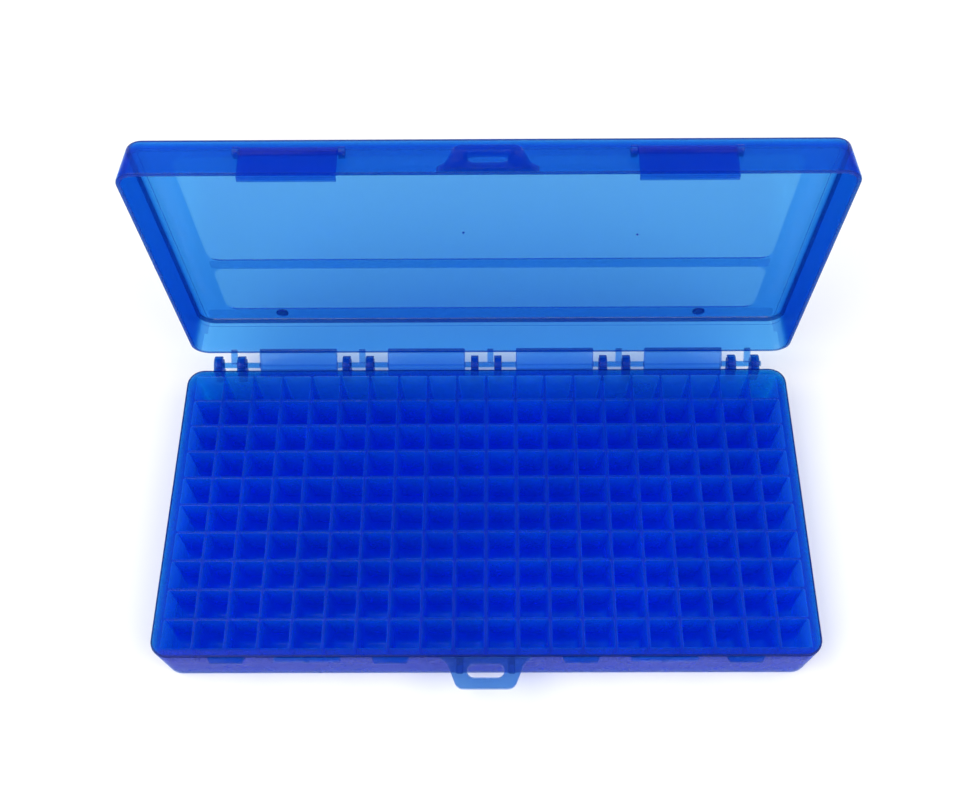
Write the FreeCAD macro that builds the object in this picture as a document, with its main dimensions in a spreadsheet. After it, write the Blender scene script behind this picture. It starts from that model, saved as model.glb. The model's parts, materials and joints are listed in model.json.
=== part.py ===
"""Hinged cartridge-style storage box: a base tray with a 20 by 10 grid of open
cells, a shallow clear-panel lid on an integral rod hinge, and two snap latches.

Row frame: millimetres, +Z up, +Y towards the hinge, +X to the right when the
front tab faces the user. Origin at the centre of the underside of the base.
The lid is drawn closed in a frame whose origin is on the hinge axis, and is
then placed open, resting on its stop.
"""
import FreeCAD, Part
import os
import math

V = FreeCAD.Vector
doc = FreeCAD.newDocument("StorageBox")
sheet = doc.addObject("Spreadsheet::Sheet", "Sheet")

CELLS = [
    # alias, value, meaning
    ("pitch_x", 12.5, "cell pitch along X"),
    ("pitch_y", 12.2, "cell pitch along Y"),
    ("n_cols", 20, "cells along X"),
    ("n_rows", 10, "cells along Y"),
    ("half_x", 128.85, "half length of the rim"),
    ("half_y", 64.0, "half width of the rim"),
    ("base_hgt", 24.5, "height of the base"),
    ("base_draft", 1.15, "inset of the base outline at the underside"),
    ("rim_rad", 7.0, "plan corner radius"),
    ("in_rad", 4.0, "inner corner radius"),
    ("floor_top", 2.2, "floor thickness and height of the cell floor"),
    ("div_top", 1.25, "divider thickness at its top"),
    ("div_foot", 3.1, "divider thickness at the floor"),
    ("hinge_out", 4.48, "hinge axis behind the rear wall"),
    ("hinge_drop", 3.47, "hinge axis below the rim"),
    ("open_deg", 86.54, "lid angle from closed to its open stop"),
    ("lid_play", 1.8, "sideways set of the lid within its axial play"),
    ("rod_rad", 1.25, "hinge rod radius"),
    ("clip_bore", 1.32, "clip bore radius"),
    ("clip_rad", 4.0, "clip outer radius"),
    ("clip_wid", 3.2, "clip width"),
    ("clip_off", 5.05, "clip offset from its station"),
    ("station", 55.85, "hinge station pitch"),
    ("rod_end", 117.8, "outer end of the end rods"),
    ("leaf_wid", 33.6, "hinge leaf width"),
    ("nub_wid", 2.6, "rod web width"),
    ("lid_hgt", 15.9, "lid depth outside"),
    ("lid_draft", 1.5, "inset of the lid outline at its panel"),
    ("lid_wall", 1.9, "lid wall thickness"),
    ("panel_thk", 1.6, "lid panel thickness"),
    ("recess", 0.5, "depth of the two panel recesses"),
    ("win_half", 113.0, "half length of the panel recesses"),
    ("win_lo", 52.0, "window recess, near edge from the rear wall"),
    ("win_hi", 118.0, "window recess, far edge from the rear wall"),
    ("lab_lo", 13.9, "lower recess, near edge from the rear wall"),
    ("lab_hi", 45.2, "lower recess, far edge from the rear wall"),
    ("lab_rad", 5.0, "recess corner radius"),
    ("boss_x", 89.8, "panel boss position"),
    ("boss_s", 12.6, "panel boss distance from the rear wall"),
    ("boss_rad", 2.6, "panel boss radius"),
    ("tab_out", 12.0, "tab projection"),
    ("tab_thk", 2.2, "tab thickness"),
    ("slot_half", 4.4, "half distance between slot end centres"),
    ("slot_rad", 2.75, "slot end radius"),
    ("slot_mid", 5.2, "slot centre from the wall"),
    ("gus_x", 9.9, "gusset position"),
    ("gus_wid", 2.6, "gusset width"),
    ("ledge_in", 36.4, "inner rim ledge position"),
    ("ledge_far", 99.0, "outer rim ledge position"),
    ("ledge_wid", 14.2, "rim ledge width"),
    ("ledge_out", 2.1, "rim ledge projection"),
    ("ledge_thk", 1.8, "rim ledge thickness"),
    ("latch_x", 68.2, "latch position"),
    ("latch_wid", 33.6, "latch width"),
    ("pad_wid", 25.4, "catch pad width"),
    ("pad_out", 1.2, "catch pad projection"),
    ("pad_hgt", 2.8, "catch pad height"),
    ("pin_rad", 0.9, "latch pin radius"),
    ("ear_bore", 0.96, "latch ear bore radius"),
    ("ear_thk", 2.2, "latch ear thickness"),
    ("piv_out", 1.2, "latch axis outside the rim line"),
    ("piv_hgt", 8.0, "latch axis above the rim"),
]
VAL = {}
for row, (alias, value, text) in enumerate(CELLS, start=1):
    sheet.set("A%d" % row, text)
    sheet.set("B%d" % row, str(value))
    sheet.setAlias("B%d" % row, alias)
    VAL[alias] = float(value)
doc.recompute()


class Q:
    """A number together with the sheet expression that gives it."""

    def __init__(self, v, e):
        self.v, self.e = float(v), e

    @staticmethod
    def of(a):
        return a if isinstance(a, Q) else Q(a, "(%.6f)" % a)

    def __add__(self, o):
        o = Q.of(o)
        return Q(self.v + o.v, "(%s + %s)" % (self.e, o.e))

    def __radd__(self, o):
        return Q.of(o) + self

    def __sub__(self, o):
        o = Q.of(o)
        return Q(self.v - o.v, "(%s - %s)" % (self.e, o.e))

    def __rsub__(self, o):
        return Q.of(o) - self

    def __mul__(self, o):
        o = Q.of(o)
        return Q(self.v * o.v, "(%s * %s)" % (self.e, o.e))

    def __rmul__(self, o):
        return Q.of(o) * self

    def __truediv__(self, o):
        o = Q.of(o)
        return Q(self.v / o.v, "(%s / %s)" % (self.e, o.e))

    def __neg__(self):
        return Q(-self.v, "(0 - %s)" % self.e)


def c(alias):
    return Q(VAL[alias], "Sheet." + alias)


def bind(obj, prop, q):
    q = Q.of(q)
    obj.setExpression(prop, q.e)


def move(obj, x=0, y=0, z=0):
    bind(obj, "Placement.Base.x", x)
    bind(obj, "Placement.Base.y", y)
    bind(obj, "Placement.Base.z", z)


def box(name, x0, y0, z0, dx, dy, dz):
    b = doc.addObject("Part::Box", name)
    b.Length, b.Width, b.Height = Q.of(dx).v, Q.of(dy).v, Q.of(dz).v
    bind(b, "Length", dx)
    bind(b, "Width", dy)
    bind(b, "Height", dz)
    move(b, x0, y0, z0)
    return b


def cyl_x(name, x0, y0, z0, rad, length):
    """A cylinder along +X."""
    k = doc.addObject("Part::Cylinder", name)
    k.Radius, k.Height = Q.of(rad).v, Q.of(length).v
    bind(k, "Radius", rad)
    bind(k, "Height", length)
    k.Placement = FreeCAD.Placement(V(0, 0, 0), FreeCAD.Rotation(V(0, 1, 0), 90))
    move(k, x0, y0, z0)
    return k


def cyl_z(name, x0, y0, z0, rad, length):
    k = doc.addObject("Part::Cylinder", name)
    k.Radius, k.Height = Q.of(rad).v, Q.of(length).v
    bind(k, "Radius", rad)
    bind(k, "Height", length)
    move(k, x0, y0, z0)
    return k


def frustum(name, cy, z0, hgt, lx, ly, tx, ty):
    """Rectangular frustum: half sizes lx, ly at z0 and tx, ty at z0 + hgt,
    centred on x = 0 and y = cy."""
    w = doc.addObject("Part::Wedge", name)
    for prop, q in (
        ("Xmin", -Q.of(lx)), ("Xmax", Q.of(lx)), ("Zmin", -Q.of(ly)), ("Zmax", Q.of(ly)),
        ("X2min", -Q.of(tx)), ("X2max", Q.of(tx)), ("Z2min", -Q.of(ty)), ("Z2max", Q.of(ty)),
        ("Ymin", Q.of(0)), ("Ymax", Q.of(hgt)),
    ):
        setattr(w, prop, q.v)
        bind(w, prop, q)
    w.Placement = FreeCAD.Placement(V(0, 0, 0), FreeCAD.Rotation(V(1, 0, 0), 90))
    move(w, 0, cy, z0)
    return w


def steep_edges(obj, ztol=0.7):
    """Numbers of the edges that run mostly along Z."""
    doc.recompute()
    out = []
    for n, e in enumerate(obj.Shape.Edges, start=1):
        a, b = e.Vertexes[0].Point, e.Vertexes[-1].Point
        d = b - a
        if d.Length > 1e-6 and abs(d.z) / d.Length > ztol:
            out.append(n)
    return out


def round_steep(name, base, rad):
    f = doc.addObject("Part::Fillet", name)
    f.Base = base
    r = Q.of(rad).v
    f.Edges = [(n, r, r) for n in steep_edges(base)]
    return f


def cut(name, base, tool):
    k = doc.addObject("Part::Cut", name)
    k.Base, k.Tool = base, tool
    return k


def fuse(name, shapes):
    k = doc.addObject("Part::MultiFuse", name)
    k.Shapes = shapes
    return k


def compound(name, links):
    k = doc.addObject("Part::Compound", name)
    k.Links = links
    return k


def poly_body(name, plane, pts, length, midplane=True, offset=None, reverse=False):
    """A prism over a closed polygon whose corners are bound to the sheet."""
    import Sketcher
    body = doc.addObject("PartDesign::Body", name)
    sk = body.newObject("Sketcher::SketchObject", name + "_sketch")
    role = {"XY": "XY_Plane", "YZ": "YZ_Plane", "XZ": "XZ_Plane"}[plane]
    org = [o for o in body.Origin.OriginFeatures if o.Role == role][0]
    sk.AttachmentSupport = [(org, "")]
    sk.MapMode = "FlatFace"
    if offset is not None:
        bind(sk, "AttachmentOffset.Base.z", offset)
    n = len(pts)
    qs = [(Q.of(a), Q.of(b)) for a, b in pts]
    for i in range(n):
        a, b = qs[i], qs[(i + 1) % n]
        sk.addGeometry(Part.LineSegment(V(a[0].v, a[1].v, 0), V(b[0].v, b[1].v, 0)), False)
    for i in range(n):
        sk.addConstraint(Sketcher.Constraint("Coincident", i, 2, (i + 1) % n, 1))
    for i in range(n):
        for axis, q in (("DistanceX", qs[i][0]), ("DistanceY", qs[i][1])):
            k = sk.addConstraint(Sketcher.Constraint(axis, -1, 1, i, 1, q.v))
            sk.setExpression("Constraints[%d]" % k, q.e)
    pad = body.newObject("PartDesign::Pad", name + "_pad")
    pad.Profile = sk
    pad.Length = Q.of(length).v
    bind(pad, "Length", length)
    pad.Midplane = midplane
    pad.Reversed = reverse
    body.Tip = pad
    return body


def node(obj, label):
    obj.Label = label
    NODES.append(obj)
    return obj


NODES = []

# ---------------------------------------------------------------- base tray
H = c("base_hgt")
cav_x = c("pitch_x") * c("n_cols") / 2 - c("div_top") / 2
cav_y = c("pitch_y") * c("n_rows") / 2 - c("div_top") / 2
grow = (c("div_foot") - c("div_top")) / 2
depth = H - c("floor_top")

outer = frustum("base_outer", 0, 0, H, c("half_x") - c("base_draft"), c("half_y") - c("base_draft"),
                c("half_x"), c("half_y"))
outer_r = round_steep("base_outer_round", outer, c("rim_rad"))
full_grow = grow * H / depth
cavity = frustum("base_cavity", 0, 0, H, cav_x - full_grow, cav_y - full_grow, cav_x, cav_y)
cavity_r = round_steep("base_cavity_round", cavity, c("in_rad"))
node(cut("base_walls_obj", outer_r, cavity_r), "base_walls")

# the floor closes the cavity at the bottom, flush with the underside
floor_slab = box("floor_slab", -c("half_x"), -c("half_y"), 0, 2 * c("half_x"), 2 * c("half_y"), c("floor_top"))
floor = doc.addObject("Part::Common", "floor_obj")
floor.Base, floor.Tool = cavity_r, floor_slab
node(floor, "base_floor")

rows = []
for i in range(1, 10):
    w = frustum("row_%d" % i, c("pitch_y") * (i - 5), c("floor_top"), depth,
                cav_x - grow, c("div_foot") / 2, cav_x, c("div_top") / 2)
    rows.append(w)
node(compound("row_dividers_obj", rows), "row_dividers")

# one short divider is drawn, and stands between every pair of row dividers
seg = frustum("column_segment", 0, 0, depth, c("div_foot") / 2, (c("pitch_y") - c("div_foot")) / 2,
              c("div_top") / 2, (c("pitch_y") - c("div_top")) / 2)
doc.recompute()
copies = []
for i in range(1, 20):
    for j in range(10):
        s = seg.Shape.copy()
        s.Placement = FreeCAD.Placement(
            V(VAL["pitch_x"] * (i - 10), VAL["pitch_y"] * (j - 4.5), VAL["floor_top"]),
            FreeCAD.Rotation(V(1, 0, 0), 90))
        copies.append(s)
cols = doc.addObject("Part::Feature", "column_dividers_obj")
cols.Shape = Part.makeCompound(copies)
node(cols, "column_dividers")

# base tab with its slot and gussets
tab_pts = [(17.6, 2.0), (17.6, 0.0), (14.6, -2.4), (10.8, -c("tab_out")),
           (-10.8, -c("tab_out")), (-14.6, -2.4), (-17.6, 0.0), (-17.6, 2.0)]


def tab(name, y_wall, z0, keep_out, sgn=-1):
    pts = [(a, Q.of(b) + y_wall) for a, b in tab_pts]
    body = poly_body(name + "_plate", "XY", pts, c("tab_thk"), midplane=False, offset=z0)
    doc.recompute()
    # round the flare and the outer corners
    edges = []
    for n, e in enumerate(body.Shape.Edges, start=1):
        a, b = e.Vertexes[0].Point, e.Vertexes[-1].Point
        if abs((b - a).z) > 1 and a.y < Q.of(y_wall).v - 1.0:
            edges.append((n, 3.6, 3.6))
    f = doc.addObject("Part::Fillet", name + "_round")
    f.Base = body
    f.Edges = edges
    ym = y_wall - c("slot_mid")
    sl = fuse(name + "_slot", [
        box(name + "_sb", -c("slot_half"), ym - c("slot_rad"), z0 - 1, 2 * c("slot_half"), 2 * c("slot_rad"), c("tab_thk") + 2),
        cyl_z(name + "_s1", -c("slot_half"), ym, z0 - 1, c("slot_rad"), c("tab_thk") + 2),
        cyl_z(name + "_s2", c("slot_half"), ym, z0 - 1, c("slot_rad"), c("tab_thk") + 2)])
    a = cut(name + "_holed", f, sl)
    return cut(name + "_obj", a, keep_out)


node(tab("base_tab", -c("half_y"), H - c("tab_thk"), outer_r), "base_tab")

gus = []
zt = H - c("tab_thk")
for k, sgn in (("l", -1), ("r", 1)):
    b = poly_body("gusset_%s" % k, "YZ",
                  [(-c("half_y") + 1.0, zt), (-c("half_y") - 6.0, zt), (-c("half_y") - 0.4, zt - 6.5), (-c("half_y") + 1.0, zt - 6.5)],
                  c("gus_wid"))
    move(b, sgn * c("gus_x"))
    gus.append(cut("gusset_%s_obj" % k, b, outer_r))
node(compound("tab_gussets_obj", gus), "tab_gussets")

ledges = []
for k, x in enumerate((-c("ledge_far"), -c("ledge_in"), c("ledge_in"), c("ledge_far"))):
    hw = c("ledge_wid") / 2
    b = poly_body("ledge_%d" % k, "XY",
                  [(x - hw, -c("half_y") + 1.0), (x - hw, -c("half_y")), (x - hw + 1.0, -c("half_y") - c("ledge_out")),
                   (x + hw - 1.0, -c("half_y") - c("ledge_out")), (x + hw, -c("half_y")), (x + hw, -c("half_y") + 1.0)],
                  c("ledge_thk"), midplane=False, offset=H - c("ledge_thk"))
    ledges.append(cut("ledge_%d_obj" % k, b, outer_r))
node(compound("rim_ledges_obj", ledges), "rim_ledges")

pads, nibs = [], []
for k, sgn in (("l", -1), ("r", 1)):
    x = sgn * c("latch_x")
    b = box("pad_%s" % k, x - c("pad_wid") / 2, -c("half_y") - c("pad_out"), H - c("pad_hgt"),
            c("pad_wid"), c("pad_out") + 1, c("pad_hgt"))
    pads.append(cut("pad_%s_obj" % k, b, outer_r))
    n = poly_body("nib_%s" % k, "XY",
                  [(x - 1.3, -c("half_y") - c("pad_out")), (x - 0.35, -c("half_y") - c("pad_out") - 0.35),
                   (x + 0.35, -c("half_y") - c("pad_out") - 0.35), (x + 1.3, -c("half_y") - c("pad_out"))],
                  1.9, midplane=False, offset=H - 2.5)
    nibs.append(n)
node(compound("catch_pads_obj", pads), "catch_pads")
node(compound("catch_nibs_obj", nibs), "catch_nibs")

# rear clips that hold the hinge rod
ay, az = c("half_y") + c("hinge_out"), H - c("hinge_drop")
clips = []
for i in range(-2, 3):
    for k, sgn in (("a", -1), ("b", 1)):
        x0 = c("station") * i + sgn * c("clip_off") - c("clip_wid") / 2
        nm = "clip_%d%s" % (i + 2, k)
        ring = cyl_x(nm + "_ring", x0, ay, az, c("clip_rad"), c("clip_wid"))
        arm = box(nm + "_arm", x0, c("half_y") - 1.5, az - 6.0, c("clip_wid"), c("hinge_out") + 1.5, 8.6)
        foot = box(nm + "_foot", x0, ay, az - 6.0, c("clip_wid"), 1.2, 3.0)
        body = fuse(nm + "_body", [ring, arm, foot])
        bore = cyl_x(nm + "_bore", x0 - 1, ay, az, c("clip_bore"), c("clip_wid") + 2)
        mouth = box(nm + "_mouth", x0 - 1, ay, az - 0.85, c("clip_wid") + 2, 6.0, 1.7)
        a = cut(nm + "_c1", body, fuse(nm + "_tool", [bore, mouth]))
        clips.append(cut(nm + "_obj", a, outer_r))
node(compound("hinge_clips_obj", clips), "hinge_clips")

# ---------------------------------------------------------------------- lid
# closed frame: origin on the hinge axis, wall_y the rear wall, rim_z the rim
wall_y, rim_z = -c("hinge_out"), c("hinge_drop")
front_y = wall_y - 2 * c("half_y")
mid_y = wall_y - c("half_y")
LID = []


def lidnode(obj, label):
    LID.append(obj)
    return node(obj, label)


part_h = c("lid_hgt") - c("panel_thk")
part_in = c("lid_draft") * part_h / c("lid_hgt")
lid_full = frustum("lid_full", mid_y, rim_z, c("lid_hgt"), c("half_x"), c("half_y"),
                   c("half_x") - c("lid_draft"), c("half_y") - c("lid_draft"))
lid_full_r = round_steep("lid_full_round", lid_full, c("rim_rad"))
hollow = frustum("lid_hollow", mid_y, rim_z, part_h,
                 c("half_x") - c("lid_wall"), c("half_y") - c("lid_wall"),
                 c("half_x") - c("lid_wall") - part_in, c("half_y") - c("lid_wall") - part_in)
hollow_r = round_steep("lid_hollow_round", hollow, c("rim_rad") - c("lid_wall"))
slab_hi = box("lid_slab_hi", -c("half_x") - 1, front_y - 1, rim_z + part_h, 2 * c("half_x") + 2, 2 * c("half_y") + 2, c("panel_thk") + 1)
ring = cut("lid_ring", lid_full_r, slab_hi)
lidnode(cut("lid_walls_obj", ring, hollow_r), "lid_walls")

slab_lo = box("lid_slab_lo", -c("half_x") - 1, front_y - 1, rim_z - 1, 2 * c("half_x") + 2, 2 * c("half_y") + 2, part_h + 1)
plate = cut("lid_plate", lid_full_r, slab_lo)
rec = []
for nm, lo, hi in (("window", c("win_lo"), c("win_hi")), ("label", c("lab_lo"), c("lab_hi"))):
    b = box("rec_" + nm, -c("win_half"), wall_y - hi, rim_z + part_h - 1, 2 * c("win_half"), hi - lo, c("recess") + 1)
    rec.append(round_steep("rec_%s_round" % nm, b, c("lab_rad")))
lidnode(cut("lid_panel_obj", plate, fuse("lid_recesses", rec)), "lid_panel")

bosses = []
for k, sgn in (("l", -1), ("r", 1)):
    bosses.append(cyl_z("boss_" + k, sgn * c("boss_x"), wall_y - c("boss_s") + 1.6, rim_z + part_h - 0.8, c("boss_rad"), 0.8))
lidnode(compound("panel_bosses_obj", bosses), "panel_bosses")

lidnode(tab("lid_tab", front_y, rim_z, lid_full_r), "lid_tab")

leaf_pts = [(wall_y + 1.0, rim_z + 2.3), (wall_y + 1.0, rim_z), (wall_y, rim_z), (-1.5, -0.9), (0.6, -1.9), (1.6, -4.1),
            (3.7, -4.1), (3.4, -0.5), (1.4, 1.3), (wall_y + 0.9, rim_z + 2.3)]
leaf_pts = [(wall_y - 0.6, rim_z + 2.3), (wall_y - 0.6, rim_z), (wall_y, rim_z), (-1.5, -0.9), (0.6, -1.9), (1.6, -4.1),
            (3.7, -4.1), (3.4, -0.5), (1.4, 1.4), (-2.6, rim_z + 2.3)]
leaves = []
for i, m in enumerate((-1.5, -0.5, 0.5, 1.5)):
    b = poly_body("leaf_%d" % i, "YZ", leaf_pts, c("leaf_wid"))
    move(b, c("station") * m)
    leaves.append(cut("leaf_%d_obj" % i, b, lid_full_r))
lidnode(compound("hinge_leaves_obj", leaves), "hinge_leaves")

gap = c("station") - c("leaf_wid")
rods = [cyl_x("rod_%d" % i, c("station") * i - gap / 2, 0, 0, c("rod_rad"), gap) for i in (-1, 0, 1)]
end0 = c("station") * 1.5 + c("leaf_wid") / 2
rods.append(cyl_x("rod_r", end0, 0, 0, c("rod_rad"), c("rod_end") - end0))
rods.append(cyl_x("rod_l", -c("rod_end"), 0, 0, c("rod_rad"), c("rod_end") - end0))
lidnode(compound("hinge_rods_obj", rods), "hinge_rods")

nubs = []
for i in range(-2, 3):
    b = poly_body("nub_%d" % (i + 2), "YZ",
                  [(wall_y - 0.6, rim_z + 1.9), (wall_y - 0.6, rim_z), (wall_y, rim_z), (-0.95, -0.75), (0.75, 0.95), (-2.9, rim_z + 1.9)],
                  c("nub_wid"))
    move(b, c("station") * i)
    a = cut("nub_%d_c" % (i + 2), b, lid_full_r)
    t = cyl_x("nub_%d_t" % (i + 2), c("station") * i - c("nub_wid"), 0, 0, c("rod_rad"), 2 * c("nub_wid"))
    nubs.append(cut("nub_%d_obj" % (i + 2), a, t))
lidnode(compound("rod_webs_obj", nubs), "rod_webs")

# latch ears on the front wall
py_, pz_ = front_y - c("piv_out"), rim_z + c("piv_hgt")
ears = []
for k, sgn in (("l", -1), ("r", 1)):
    for m, side in (("a", -1), ("b", 1)):
        nm = "ear_%s%s" % (k, m)
        face = sgn * c("latch_x") + side * (c("latch_wid") / 2 + 0.25)
        x0 = face if side > 0 else face - c("ear_thk")
        body = fuse(nm + "_body", [
            cyl_x(nm + "_rnd", x0, py_, pz_, 1.75, c("ear_thk")),
            box(nm + "_arm", x0, py_, pz_ - 1.75, c("ear_thk"), 3.6, 3.5)])
        a = cut(nm + "_c", body, cyl_x(nm + "_bore", x0 - 1, py_, pz_, c("ear_bore"), c("ear_thk") + 2))
        ears.append(cut(nm + "_obj", a, lid_full_r))
lidnode(compound("latch_ears_obj", ears), "latch_ears")


# ------------------------------------------------------------------ latches
def latch(k, sgn):
    x = sgn * c("latch_x")
    o, h = front_y, rim_z
    # outline in (y, z): out is towards -y
    pts = [(o - 3.35, h - 4.6), (o - 3.35, h + 5.3), (o - 3.8, h + 5.9), (o - 3.35, h + 6.6), (o - 2.5, h + 8.9),
           (o - 1.2, h + 9.4), (o - 0.1, h + 8.9), (o + 0.1, h + 7.6), (o - 0.7, h + 6.7), (o - 1.75, h + 6.1),
           (o - 1.75, h - 3.1), (o - 0.75, h - 3.4), (o - 0.75, h - 4.3), (o - 1.05, h - 4.6)]
    b = poly_body("latch_%s_plate" % k, "YZ", pts, c("latch_wid"))
    move(b, x)
    p = cyl_x("latch_%s_pin" % k, x - c("latch_wid") / 2 - 2.2, py_, pz_, c("pin_rad"), c("latch_wid") + 4.4)
    return fuse("latch_%s_obj" % k, [b, p])


lidnode(latch("l", -1), "latch_left")
lidnode(latch("r", 1), "latch_right")

doc.recompute()

# ------------------------------------------------- place the lid, then check
for obj in LID:
    obj.Placement = FreeCAD.Placement(
        V(VAL["lid_play"], VAL["half_y"] + VAL["hinge_out"], VAL["base_hgt"] - VAL["hinge_drop"]),
        FreeCAD.Rotation(V(1, 0, 0), -VAL["open_deg"]))
    bind(obj, "Placement.Base.x", c("lid_play"))
    bind(obj, "Placement.Base.y", c("half_y") + c("hinge_out"))
    bind(obj, "Placement.Base.z", c("base_hgt") - c("hinge_drop"))
doc.recompute()

for obj in doc.Objects:
    if "Invalid" in obj.State or "Error" in obj.State:
        raise SystemExit("failed: %s %s" % (obj.Name, obj.State))
os.makedirs("parts", exist_ok=True)
for obj in NODES:
    s = obj.Shape
    if s.isNull() or not s.isValid() or s.Volume <= 0:
        raise SystemExit("bad shape: " + obj.Label)
    print("%-16s solids %3d  volume %9.1f" % (obj.Label, len(s.Solids), s.Volume))
for obj in NODES:
    obj.Shape.exportStep("parts/%s.step" % obj.Label)
print("total volume %.1f mm3" % sum(o.Shape.Volume for o in NODES))
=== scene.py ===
"""Looks for the divided storage box: translucent royal-blue moulded plastic."""
import bpy
import bmesh
import json
import math
from mathutils import Matrix, Vector
from mathutils.geometry import tessellate_polygon


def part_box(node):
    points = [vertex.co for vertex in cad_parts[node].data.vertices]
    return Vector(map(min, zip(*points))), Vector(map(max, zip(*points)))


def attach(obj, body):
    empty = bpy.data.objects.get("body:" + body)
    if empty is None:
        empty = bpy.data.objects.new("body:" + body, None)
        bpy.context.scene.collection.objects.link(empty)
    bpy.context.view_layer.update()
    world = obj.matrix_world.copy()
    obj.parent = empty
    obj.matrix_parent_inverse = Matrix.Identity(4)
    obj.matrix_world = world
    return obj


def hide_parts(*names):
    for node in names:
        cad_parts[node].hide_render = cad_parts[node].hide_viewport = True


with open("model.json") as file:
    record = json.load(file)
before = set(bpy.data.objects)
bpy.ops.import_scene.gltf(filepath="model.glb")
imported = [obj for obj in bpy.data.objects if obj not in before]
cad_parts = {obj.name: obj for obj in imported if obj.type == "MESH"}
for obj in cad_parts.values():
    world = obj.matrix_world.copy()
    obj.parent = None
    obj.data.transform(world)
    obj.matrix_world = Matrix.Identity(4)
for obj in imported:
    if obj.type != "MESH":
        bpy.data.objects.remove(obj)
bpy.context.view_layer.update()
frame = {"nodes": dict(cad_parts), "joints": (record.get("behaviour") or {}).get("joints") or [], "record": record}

MM = 0.001
sc = bpy.context.scene
NODES = frame["nodes"]

# ------------------------------------------------------------------ dimensions
PX, PY, NC, NR = 12.5, 12.2, 20, 10
DT, DF = 1.25, 3.1                       # divider thickness at top and foot
lo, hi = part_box("base_walls")
HX, HY, H = hi.x / MM, hi.y / MM, hi.z / MM
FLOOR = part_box("row_dividers")[0].z / MM
CAVX, CAVY = PX * NC / 2 - DT / 2, PY * NR / 2 - DT / 2
GROW = (DF - DT) / 2
BASE_DRAFT = 1.15
LID_H, PANEL, LID_DRAFT, LID_WALL, RECESS = 15.9, 1.6, 1.5, 1.9, 0.5
HJ = [j for j in frame["joints"] if j["name"] == "lid_hinge"][0]
AX = Vector(HJ["pos_m"]) / MM            # hinge axis
OPEN = math.radians(86.54)
SHIFT = AX.x
WALL_Y, RIM_Z = HY - AX.y, H - AX.z      # closed frame about the hinge axis
LID_M = Matrix.Translation(Vector((SHIFT, AX.y, AX.z))) @ Matrix.Rotation(-OPEN, 4, "X")


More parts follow.
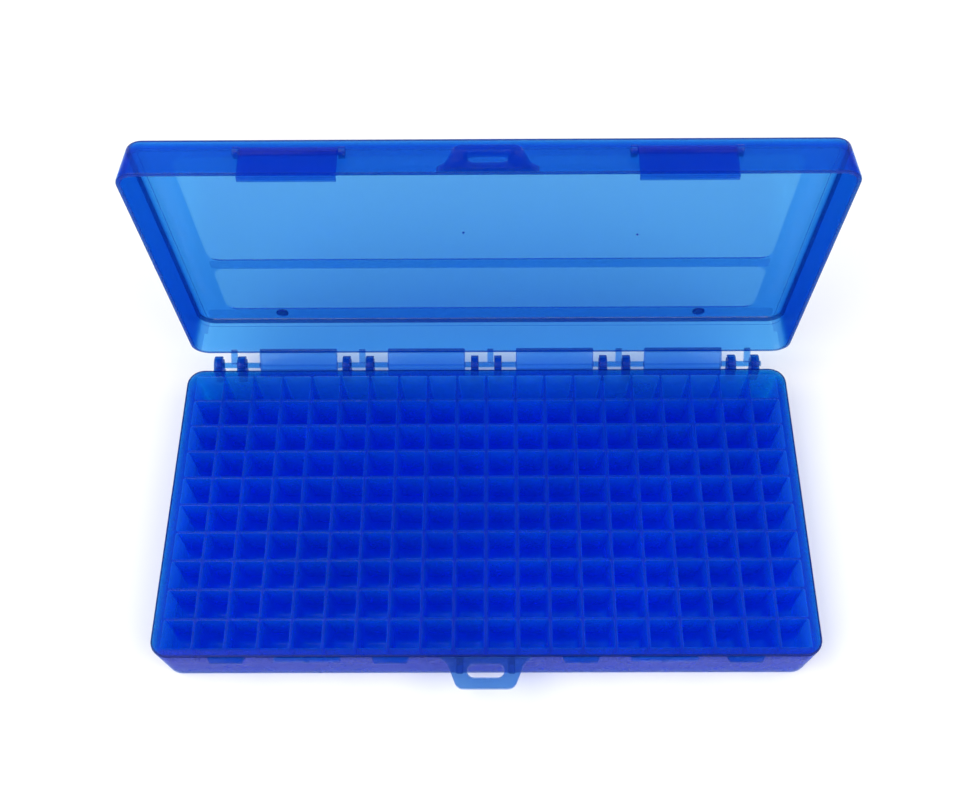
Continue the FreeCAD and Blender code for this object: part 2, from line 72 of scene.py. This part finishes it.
# ------------------------------------------------------------------ materials
def plastic(name, sigma, rough, gloss, through=0.5, grain=0.5):
    """Tinted moulded plastic. The clear share is a Transparent shader over an
    absorbing volume, so thick stacks deepen; haze is light scattered in the
    plastic, part of it passed on from behind; a soft gloss lies over both.
    sigma is what a millimetre absorbs in red, green and blue. The colour and
    the share of the haze come with each face, in a face attribute: the plastic's own tone, and on some faces painted
    shade (dark edge lines) and painted light."""
    m = bpy.data.materials.new(name)
    m.use_nodes = True
    nt = m.node_tree
    nt.nodes.clear()
    N, L = nt.nodes.new, nt.links.new
    out = N("ShaderNodeOutputMaterial")
    tc = N("ShaderNodeTexCoord")

    # slow flow clouds in the moulding, a fine satin grain, and rubbed patches
    flow = N("ShaderNodeTexNoise")
    flow.inputs["Scale"].default_value = 22.0
    flow.inputs["Detail"].default_value = 3.0
    flow.inputs["Roughness"].default_value = 0.55
    L(tc.outputs["Object"], flow.inputs["Vector"])
    fine = N("ShaderNodeTexNoise")
    fine.inputs["Scale"].default_value = 900.0
    fine.inputs["Detail"].default_value = 2.0
    L(tc.outputs["Object"], fine.inputs["Vector"])
    rub = N("ShaderNodeTexNoise")
    rub.inputs["Scale"].default_value = 140.0
    rub.inputs["Detail"].default_value = 6.0
    rub.inputs["Roughness"].default_value = 0.7
    L(tc.outputs["Object"], rub.inputs["Vector"])

    # per-face haze colour and share: the plastic's own tone, with painted shade and painted light on some faces
    haze_and_painted_light = N("ShaderNodeAttribute")
    haze_and_painted_light.attribute_name = "haze_and_painted_light"
    vary = N("ShaderNodeMapRange")
    vary.inputs["From Min"].default_value, vary.inputs["From Max"].default_value = 0.3, 0.7
    vary.inputs["To Min"].default_value, vary.inputs["To Max"].default_value = 0.88, 1.06
    L(flow.outputs["Fac"], vary.inputs["Value"])
    hz = N("ShaderNodeMath")
    hz.operation = "MULTIPLY"
    L(haze_and_painted_light.outputs["Alpha"], hz.inputs[0])
    L(vary.outputs["Result"], hz.inputs[1])
    ramp = N("ShaderNodeVectorMath")
    ramp.operation = "SCALE"
    L(haze_and_painted_light.outputs["Color"], ramp.inputs[0])
    L(vary.outputs["Result"], ramp.inputs["Scale"])

    bump = N("ShaderNodeBump")
    bump.inputs["Strength"].default_value = 0.12 * grain
    bump.inputs["Distance"].default_value = 0.0002
    L(fine.outputs["Fac"], bump.inputs["Height"])

    clear = N("ShaderNodeBsdfTransparent")
    clear.inputs["Color"].default_value = (1, 1, 1, 1)
    dif = N("ShaderNodeBsdfDiffuse")
    L(ramp.outputs["Vector"], dif.inputs["Color"])
    L(bump.outputs["Normal"], dif.inputs["Normal"])
    trn = N("ShaderNodeBsdfTranslucent")
    L(ramp.outputs["Vector"], trn.inputs["Color"])
    scat = N("ShaderNodeMixShader")
    scat.inputs["Fac"].default_value = through
    L(dif.outputs[0], scat.inputs[1])
    L(trn.outputs[0], scat.inputs[2])
    body = N("ShaderNodeMixShader")
    L(hz.outputs[0], body.inputs["Fac"])
    L(clear.outputs[0], body.inputs[1])
    L(scat.outputs[0], body.inputs[2])
    gl = N("ShaderNodeBsdfGlossy")
    gl.inputs["Color"].default_value = (1, 1, 1, 1)
    L(bump.outputs["Normal"], gl.inputs["Normal"])
    rr = N("ShaderNodeMapRange")
    rr.inputs["From Min"].default_value, rr.inputs["From Max"].default_value = 0.35, 0.65
    rr.inputs["To Min"].default_value, rr.inputs["To Max"].default_value = rough * 0.75, rough * 1.3
    L(rub.outputs["Fac"], rr.inputs["Value"])
    L(rr.outputs["Result"], gl.inputs["Roughness"])
    fr = N("ShaderNodeFresnel")
    fr.inputs["IOR"].default_value = 1.45
    L(bump.outputs["Normal"], fr.inputs["Normal"])
    k = N("ShaderNodeMath")
    k.operation = "MULTIPLY"
    k.inputs[1].default_value = gloss
    L(fr.outputs["Fac"], k.inputs[0])
    top = N("ShaderNodeMixShader")
    L(k.outputs[0], top.inputs["Fac"])
    L(body.outputs[0], top.inputs[1])
    L(gl.outputs[0], top.inputs[2])
    L(top.outputs[0], out.inputs["Surface"])
    va = N("ShaderNodeVolumeAbsorption")
    va.inputs["Color"].default_value = (*[1 - q / max(sigma) for q in sigma], 1)
    va.inputs["Density"].default_value = max(sigma) * 1000.0
    L(va.outputs[0], out.inputs["Volume"])
    return m


M_BASE = plastic("base_blue", (1.2, 0.16, 0.010), 0.25, 0.3)
M_TAB = plastic("tab_blue", (0.85, 0.42, 0.16), 0.25, 0.2)
M_LEDGE = plastic("ledge_blue", (1.2, 0.30, 0.03), 0.25, 0.2)
M_LID = plastic("lid_blue", (1.05, 0.35, 0.055), 0.2, 0.28)
M_LEAF = plastic("leaf_blue", (0.70, 0.24, 0.03), 0.2, 0.4)
M_LATCH = plastic("latch_blue", (1.4, 0.50, 0.08), 0.22, 0.15)
# haze colour and share: plain faces first, then rounded edges, painted shade:
# dark lines standing in for the light that clear plastic bends away there
# (on the lid tab painted lighter, a painted highlight), then special faces,
# some of them painted light and shade as noted where they are given
K_BASE = [(0.004, 0.22, 0.96, 0.31), (0.002, 0.024, 0.22, 0.92), (0.006, 0.085, 0.62, 0.42), (0.03, 0.30, 0.97, 0.50),
          (0.04, 0.145, 0.58, 0.45)]
K_TAB = [(0.05, 0.20, 0.80, 0.24), (0.004, 0.05, 0.40, 0.75)]
K_LEDGE = [(0.004, 0.09, 0.62, 0.55), (0.003, 0.030, 0.26, 0.85)]
K_PAD = [(0.02, 0.16, 0.80, 0.35), (0.006, 0.10, 0.66, 0.45)]
K_LID = [(0.06, 0.30, 0.92, 0.09), (0.002, 0.035, 0.34, 0.85), (0.008, 0.14, 0.76, 0.32), (0.005, 0.07, 0.52, 0.72)]
K_LEAF = [(0.12, 0.38, 0.95, 0.20), (0.02, 0.16, 0.75, 0.35)]
# the lid tab's edge kind is lighter than its faces: a painted highlight
K_LIDTAB = [(0.006, 0.10, 0.70, 0.32), (0.02, 0.17, 0.80, 0.45)]
K_LATCH = [(0.008, 0.11, 0.80, 0.20), (0.003, 0.030, 0.40, 0.70)]
SLOT_MAT = {"base_plastic": (M_BASE, K_BASE), "lid_plastic": (M_LID, K_LID), "latch_plastic": (M_LATCH, K_LATCH)}


def dress(me, look):
    """One plastic on the whole mesh; face kinds become the attribute."""
    mat, kinds = look
    at = me.attributes.new("haze_and_painted_light", "FLOAT_COLOR", "CORNER")
    vals = []
    for p in me.polygons:
        vals += list(kinds[min(p.material_index, len(kinds) - 1)]) * p.loop_total
    at.data.foreach_set("color", vals)
    for p in me.polygons:
        p.material_index = 0
    me.materials.clear()
    me.materials.append(mat)


# ------------------------------------------------------------------ mesh tools
def ring_pts(hx, hy, r, seg, cx=0.0, cy=0.0):
    """Rounded rectangle, counter-clockwise seen from +Z, starting at the
    right end of the bottom edge's corner."""
    pts = []
    r = max(r, 0.01)
    for k, (sx, sy) in enumerate(((1, -1), (1, 1), (-1, 1), (-1, -1))):
        ccx, ccy = cx + sx * (hx - r), cy + sy * (hy - r)
        a0 = -math.pi / 2 + k * math.pi / 2
        for i in range(seg + 1):
            a = a0 + (math.pi / 2) * i / seg
            pts.append((ccx + r * math.cos(a), ccy + r * math.sin(a)))
    return pts


class Builder:
    def __init__(self):
        self.v, self.f, self.mi = [], [], {}

    def add(self, pts, z):
        i0 = len(self.v)
        self.v += [(x, y, z) for x, y in pts]
        return list(range(i0, i0 + len(pts)))

    def add3(self, pts):
        i0 = len(self.v)
        self.v += list(pts)
        return list(range(i0, i0 + len(pts)))

    def bridge(self, a, b, flip=False, mi=0):
        """Join two rings; mi is a material number, or a rule that gives one
        from the middle of each face."""
        n = len(a)
        for i in range(n):
            q = [a[i], a[(i + 1) % n], b[(i + 1) % n], b[i]]
            if mi:
                mid = sum((Vector(self.v[k]) for k in q), Vector()) / 4
                self.mi[len(self.f)] = mi(mid) if callable(mi) else mi
            self.f.append(q[::-1] if flip else q)

    def cap(self, outer, holes, up, mi=0):
        loops = [[Vector(self.v[i]) for i in outer]] + [[Vector(self.v[i]) for i in h] for h in holes]
        idx = list(outer) + [i for h in holes for i in h]
        for t in tessellate_polygon(loops):
            a, b, c = (idx[k] for k in t)
            pa, pb, pc = (Vector(self.v[k]) for k in (a, b, c))
            n = (pb - pa).cross(pc - pa)
            if abs(n.z) < 1e-9:
                continue
            self.mi[len(self.f)] = mi
            self.f.append([a, b, c] if (n.z > 0) == up else [a, c, b])

    def obj(self, name, mat, body, replaces, matrix=None, sharp=35):
        me = bpy.data.meshes.new(name)
        me.from_pydata([Vector(p) * MM for p in self.v], [], self.f)
        for i, k in self.mi.items():
            me.polygons[i].material_index = k
        bm = bmesh.new()
        bm.from_mesh(me)
        bmesh.ops.remove_doubles(bm, verts=bm.verts, dist=2e-6)
        bmesh.ops.recalc_face_normals(bm, faces=bm.faces)
        if matrix is not None:
            mm = matrix.copy()
            mm.translation = mm.translation * MM
            bm.transform(mm)
        shade(bm, sharp)
        bm.to_mesh(me)
        bm.free()
        dress(me, mat)
        o = bpy.data.objects.new(name, me)
        sc.collection.objects.link(o)
        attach(o, body)
        if replaces:
            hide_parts(*replaces)
        return o


def shade(bm, deg):
    lim = math.radians(deg)
    for f in bm.faces:
        f.smooth = True
    for e in bm.edges:
        e.smooth = not (len(e.link_faces) == 2 and e.calc_face_angle(0) > lim)


def refine(node, name, mat, body, width, seg=2, angle=28, extra=None):
    """A finished copy of a CAD piece: its flat faces made whole and its edges
    rounded as moulding leaves them. The rounded faces take the second face kind, painted shade: dark edge lines, on the
    lid tab a painted highlight instead."""
    src = NODES[node]
    me = src.data.copy()
    me.name = name
    bm = bmesh.new()
    bm.from_mesh(me)
    bmesh.ops.remove_doubles(bm, verts=bm.verts, dist=1e-6)
    bmesh.ops.dissolve_limit(bm, angle_limit=math.radians(1.0), verts=bm.verts, edges=bm.edges)
    lim = math.radians(angle)
    edges = [e for e in bm.edges if len(e.link_faces) == 2 and e.calc_face_angle(0) > lim]
    for f in bm.faces:
        f.material_index = 0
    made = bmesh.ops.bevel(bm, geom=edges, offset=width * MM, offset_type="OFFSET", segments=seg, profile=0.5,
                           affect="EDGES", clamp_overlap=True)
    # rounded faces: painted dark edge lines (a painted highlight on the lid tab)
    for f in made["faces"]:
        f.material_index = 1
    bmesh.ops.recalc_face_normals(bm, faces=bm.faces)
    shade(bm, 40)
    bm.to_mesh(me)
    bm.free()
    dress(me, mat)
    o = bpy.data.objects.new(name, me)
    sc.collection.objects.link(o)
    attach(o, body)
    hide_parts(node)
    return o


# ------------------------------------------------------------------ base tray
def tray():
    b = Builder()
    # outer wall, from the underside up to the rim
    seg = 8

    def outline(z, inset):
        d = BASE_DRAFT * (1 - z / H) + inset
        return b.add(ring_pts(HX - d, HY - d, max(7.0 - inset, 1.0), seg), z)
    rings = [outline(0.0, 1.1), outline(0.12, 0.62), outline(0.42, 0.24), outline(1.1, 0.0)]
    rings += [outline(z, 0.0) for z in (6.0, 12.0, 18.0)]
    rings += [outline(H - 0.75, 0.0), outline(H - 0.22, 0.16), outline(H - 0.04, 0.42), outline(H, 0.85)]
    # the rim's rounding takes kind 1, painted shade: dark edge lines; the front wall takes kind 4, a lighter, greyer
    # haze that is a painted reflection of the white surroundings; the other outer faces take kind 2
    for k, (p, q) in enumerate(zip(rings, rings[1:])):
        b.bridge(p, q, mi=1 if k >= len(rings) - 4 else lambda mid: 4 if mid.y < BASE_DRAFT + 0.6 - HY else 2)
    # cells
    holes = []
    depth = H - FLOOR
    for i in range(NC):
        for j in range(NR):
            cx, cy = PX * (i - (NC - 1) / 2), PY * (j - (NR - 1) / 2)

            def half(z):
                g = GROW * (H - z) / depth
                return (PX - DT) / 2 - g, (PY - DT) / 2 - g
            rs = []
            sg = 3
            for z, out, r in ((H, 0.26, 0.75), (H - 0.06, 0.12, 0.62), (H - 0.24, 0.0, 0.5), (H - 7, 0.0, 0.6),
                              (H - 14, 0.0, 0.75), (FLOOR + 1.25, 0.0, 0.9)):
                hx, hy = half(z)
                rs.append(b.add(ring_pts(hx + out, hy + out, r, sg, cx, cy), z))
            for a in (30, 60, 90):
                t = math.radians(a)
                rr = 1.15
                z = FLOOR + rr - rr * math.sin(t) if a < 90 else FLOOR
                hx, hy = half(FLOOR + 1.25)
                ins = rr * (1 - math.cos(t))
                rs.append(b.add(ring_pts(hx - ins, hy - ins, max(0.9 - ins * 0.5, 0.35), sg, cx, cy), z))
            hx, hy = half(FLOOR)

            def inner_wall_painted_light(mid, i=i, j=j, cx=cx, cy=cy, hx=hx, hy=hy):
                """Cell faces that are the box's own walls take a lighter haze colour: painted light, standing in for
                the light that comes in through the outer wall.
                """
                if i == 0 and mid.x < cx - hx + 0.1 or i == NC - 1 and mid.x > cx + hx - 0.1:
                    return 3
                return 3 if j == NR - 1 and mid.y > cy + hy - 0.1 else 0
            for p, q in zip(rs, rs[1:]):
                b.bridge(p, q, flip=True, mi=inner_wall_painted_light)
            b.f.append(rs[-1])
            holes.append(rs[0])
    b.cap(rings[-1], holes, True, 2)
    b.cap(rings[0], [], False)
    return b.obj("base_tray", (M_BASE, K_BASE), "base", ["base_walls", "base_floor", "row_dividers", "column_dividers"])


def lid_shell():
    """Walls, panel, recesses and gate marks as one moulding, drawn closed about
    the hinge axis and then opened."""
    b = Builder()
    seg = 8
    cy = WALL_Y - HY

    def outline(h, inset, wall=0.0, r=7.0):
        d = LID_DRAFT * h / LID_H + inset + wall
        return b.add(ring_pts(HX - d, HY - d, max(r - inset - wall, 0.8), seg, 0, cy), RIM_Z + h)
    outer = [outline(0.0, 0.45), outline(0.12, 0.16), outline(0.45, 0.0), outline(4, 0), outline(9, 0),
             outline(LID_H - 1.5, 0.0), outline(LID_H - 0.85, 0.1), outline(LID_H - 0.35, 0.42), outline(LID_H - 0.06, 1.0), outline(LID_H, 1.6)]

    def deep(mid):                       # front and side walls are the deeper ones
        return 0 if mid.y > WALL_Y - 1.6 else 2
    # the rim and top roundings take kind 1, painted shade: dark edge lines
    for k, (p, q) in enumerate(zip(outer, outer[1:])):
        b.bridge(p, q, mi=1 if k in (0, 5, 6, 7) else deep)
    b.cap(outer[-1], [], True)
    top = LID_H - PANEL
    inner = [outline(0.0, 0.0, LID_WALL - 0.45), outline(0.1, 0.0, LID_WALL - 0.14), outline(0.4, 0.0, LID_WALL),
             outline(5, 0, LID_WALL), outline(10, 0, LID_WALL)]
    R = 2.4
    for a in (-1, 0, 12, 35, 60, 84, 90):
        t = math.radians(max(a, 0))
        inner.append(outline(top - R - (0.18 if a < 0 else 0.0) + R * math.sin(t), 0.0, LID_WALL + R * (1 - math.cos(t))))
    # kind 3 at the wall's inner foot and at both ends of the panel fillet: painted shade, dark lines
    b.bridge(outer[0], inner[0], flip=True, mi=3)
    for k, (p, q) in enumerate(zip(inner, inner[1:])):
        b.bridge(p, q, flip=True, mi=3 if k in (0, 5, 10) else 0)
    holes = []
    for s0, s1, r in ((52.0, 118.0, 5.0), (13.9, 45.2, 5.0)):
        c0, hy = WALL_Y - (s0 + s1) / 2, (s1 - s0) / 2
        rs = [b.add(ring_pts(113.0 + o, hy + o, r + o, 6, 0, c0), RIM_Z + top + z)
              for o, z in ((0.35, 0.0), (0.12, 0.06), (0.0, 0.2), (-0.08, 0.4), (-0.3, RECESS))]
        # the edge of each sunk field on the hinge side, its lower edge as the lid stands open, takes kind 3: a painted
        # dark shade line
        for k, (p, q) in enumerate(zip(rs, rs[1:])):
            b.bridge(p, q, flip=True, mi=(lambda mid: 3 if mid.y > c0 + hy - 1.0 else 0) if k < 3 else 0)
        b.cap(rs[-1], [], False)
        holes.append(rs[0])
    # plain bands between and below the two sunk fields, as thick as the rest of the panel, capped apart so that they
    # take the darker kind-2 haze colour
    for s0, s1, hx, r in ((45.75, 51.45, 113.0, 0.6), (4.6, 13.35, 122.0, 2.5)):
        c0, hy = WALL_Y - (s0 + s1) / 2, (s1 - s0) / 2
        band = b.add(ring_pts(hx, hy, r, 3, 0, c0), RIM_Z + top)
        b.cap(band, [], False, 2)
        holes.append(band)
    b.cap(inner[-1], holes, False)
    # gate and ejector marks: low round nibs, each a closed little dome, painted dark with kind 3: painted shade
    for gx, gy, gz in ((-10.0, WALL_Y - 69.9, RIM_Z + top + RECESS), (57.7, WALL_Y - 68.1, RIM_Z + top + RECESS)):
        rs = [b.add(ring_pts(r, r, r * 0.999, 3, gx, gy), gz + z) for r, z in ((0.5, 0.25), (0.5, -0.04), (0.38, -0.12), (0.2, -0.15))]
        for p, q in zip(rs, rs[1:]):
            b.bridge(p, q, flip=True, mi=3)
        b.cap(rs[0], [], True, 3)
        b.cap(rs[-1], [], False, 3)
    return b.obj("lid_shell", (M_LID, K_LID), "lid", ["lid_walls", "lid_panel"], LID_M)


tray()
lid_shell()
REF = [
    ("base_tab", "tab_base", "base", 0.45, 3), ("tab_gussets", "gussets", "base", 0.3, 2),
    ("rim_ledges", "ledges", "base", 0.4, 2), ("catch_pads", "pads", "base", 0.35, 2),
    ("catch_nibs", "nibs", "base", 0.08, 1), ("hinge_clips", "clips", "base", 0.3, 2),
    ("lid_tab", "tab_lid", "lid", 0.45, 3), ("hinge_leaves", "leaves", "lid", 0.4, 3),
    ("hinge_rods", "rods", "lid", 0.15, 2), ("rod_webs", "webs", "lid", 0.35, 2),
    ("latch_ears", "ears", "lid", 0.3, 2), ("panel_bosses", "bosses", "lid", 0.3, 3),
    ("latch_left", "latch_clip_left", "latch_left", 0.32, 3), ("latch_right", "latch_clip_right", "latch_right", 0.32, 3),
]
SLOTS = {s["node"]: s["material_slot"] for s in frame["record"]["subparts"]}
for node, name, body, w, seg in REF:
    mats = SLOT_MAT[SLOTS[node]]
    if node in ("hinge_leaves", "rod_webs"):
        mats = (M_LEAF, K_LEAF)
    if node == "base_tab":
        mats = (M_TAB, K_TAB)
    if node in ("rim_ledges", "hinge_clips"):
        mats = (M_LEDGE, K_LEDGE)
    if node in ("catch_pads", "catch_nibs"):
        mats = (M_LEDGE, K_PAD)
    if node == "lid_tab":
        mats = (M_LID, K_LIDTAB)
    refine(node, name, mats, body, w, seg)

# ------------------------------------------------------------------ stage
fl = Builder()
fl.f.append(fl.add([(-6000, -6000), (6000, -6000), (6000, 6000), (-6000, 6000)], -0.02))
me = bpy.data.meshes.new("stage_floor")
me.from_pydata([Vector(p) * MM for p in fl.v], [], fl.f)
mf = bpy.data.materials.new("pale_floor")
mf.use_nodes = True
pb = mf.node_tree.nodes["Principled BSDF"]
pb.inputs["Base Color"].default_value = (0.93, 0.93, 0.93, 1)
pb.inputs["Roughness"].default_value = 0.9
me.materials.append(mf)
floor = bpy.data.objects.new("stage_floor", me)
sc.collection.objects.link(floor)

w = bpy.data.worlds.new("studio")
sc.world = w
w.use_nodes = True
w.node_tree.nodes["Background"].inputs["Color"].default_value = (1, 1, 1, 1)
w.node_tree.nodes["Background"].inputs["Strength"].default_value = 0.42


def area(name, loc, target, size, power):
    l = bpy.data.lights.new(name, "AREA")
    l.shape = "RECTANGLE"
    l.size, l.size_y = size
    l.energy = power
    o = bpy.data.objects.new(name, l)
    sc.collection.objects.link(o)
    o.location = loc
    o.rotation_euler = (Vector(target) - Vector(loc)).to_track_quat("-Z", "Y").to_euler()
    return o


area("key", (-0.75, -0.35, 1.2), (0, 0, 0), (1.2, 1.2), 16)
area("fill", (0.9, -0.45, 1.1), (0, 0, 0), (1.2, 1.2), 13)
area("back", (0.0, 1.5, 0.5), (0, 0, 0.08), (2.2, 0.6), 3)

# ------------------------------------------------------------------ camera
cam = bpy.data.cameras.new("camera")
co = bpy.data.objects.new("camera", cam)
sc.collection.objects.link(co)
cam.sensor_fit = "HORIZONTAL"
cam.sensor_width = 36.0
cam.lens = 1211.77 * 36.0 / 980.0
cam.clip_start, cam.clip_end = 0.01, 50.0
el, yaw, roll = 1.0516458, 0.0123259, -0.0141670
R0 = Vector((math.cos(yaw), math.sin(yaw), 0))
F0 = Vector((-math.sin(yaw), math.cos(yaw), 0))
F = F0 * math.cos(el) - Vector((0, 0, 1)) * math.sin(el)
U = F0 * math.sin(el) + Vector((0, 0, 1)) * math.cos(el)
Rc = R0 * math.cos(roll) + U * math.sin(roll)
Uc = -R0 * math.sin(roll) + U * math.cos(roll)
m = Matrix.Identity(4)
for r in range(3):
    m[r][0], m[r][1], m[r][2] = Rc[r], Uc[r], -F[r]
m.translation = Vector((0.0047775, -0.208763, 0.472340))
co.matrix_world = m
sc.camera = co

sc.view_settings.view_transform = "Standard"
sc.view_settings.look = "None"
sc.cycles.use_denoising = True
sc.cycles.transparent_max_bounces = 32
sc.cycles.max_bounces = 14
sc.cycles.diffuse_bounces = 8
sc.cycles.transmission_bounces = 12
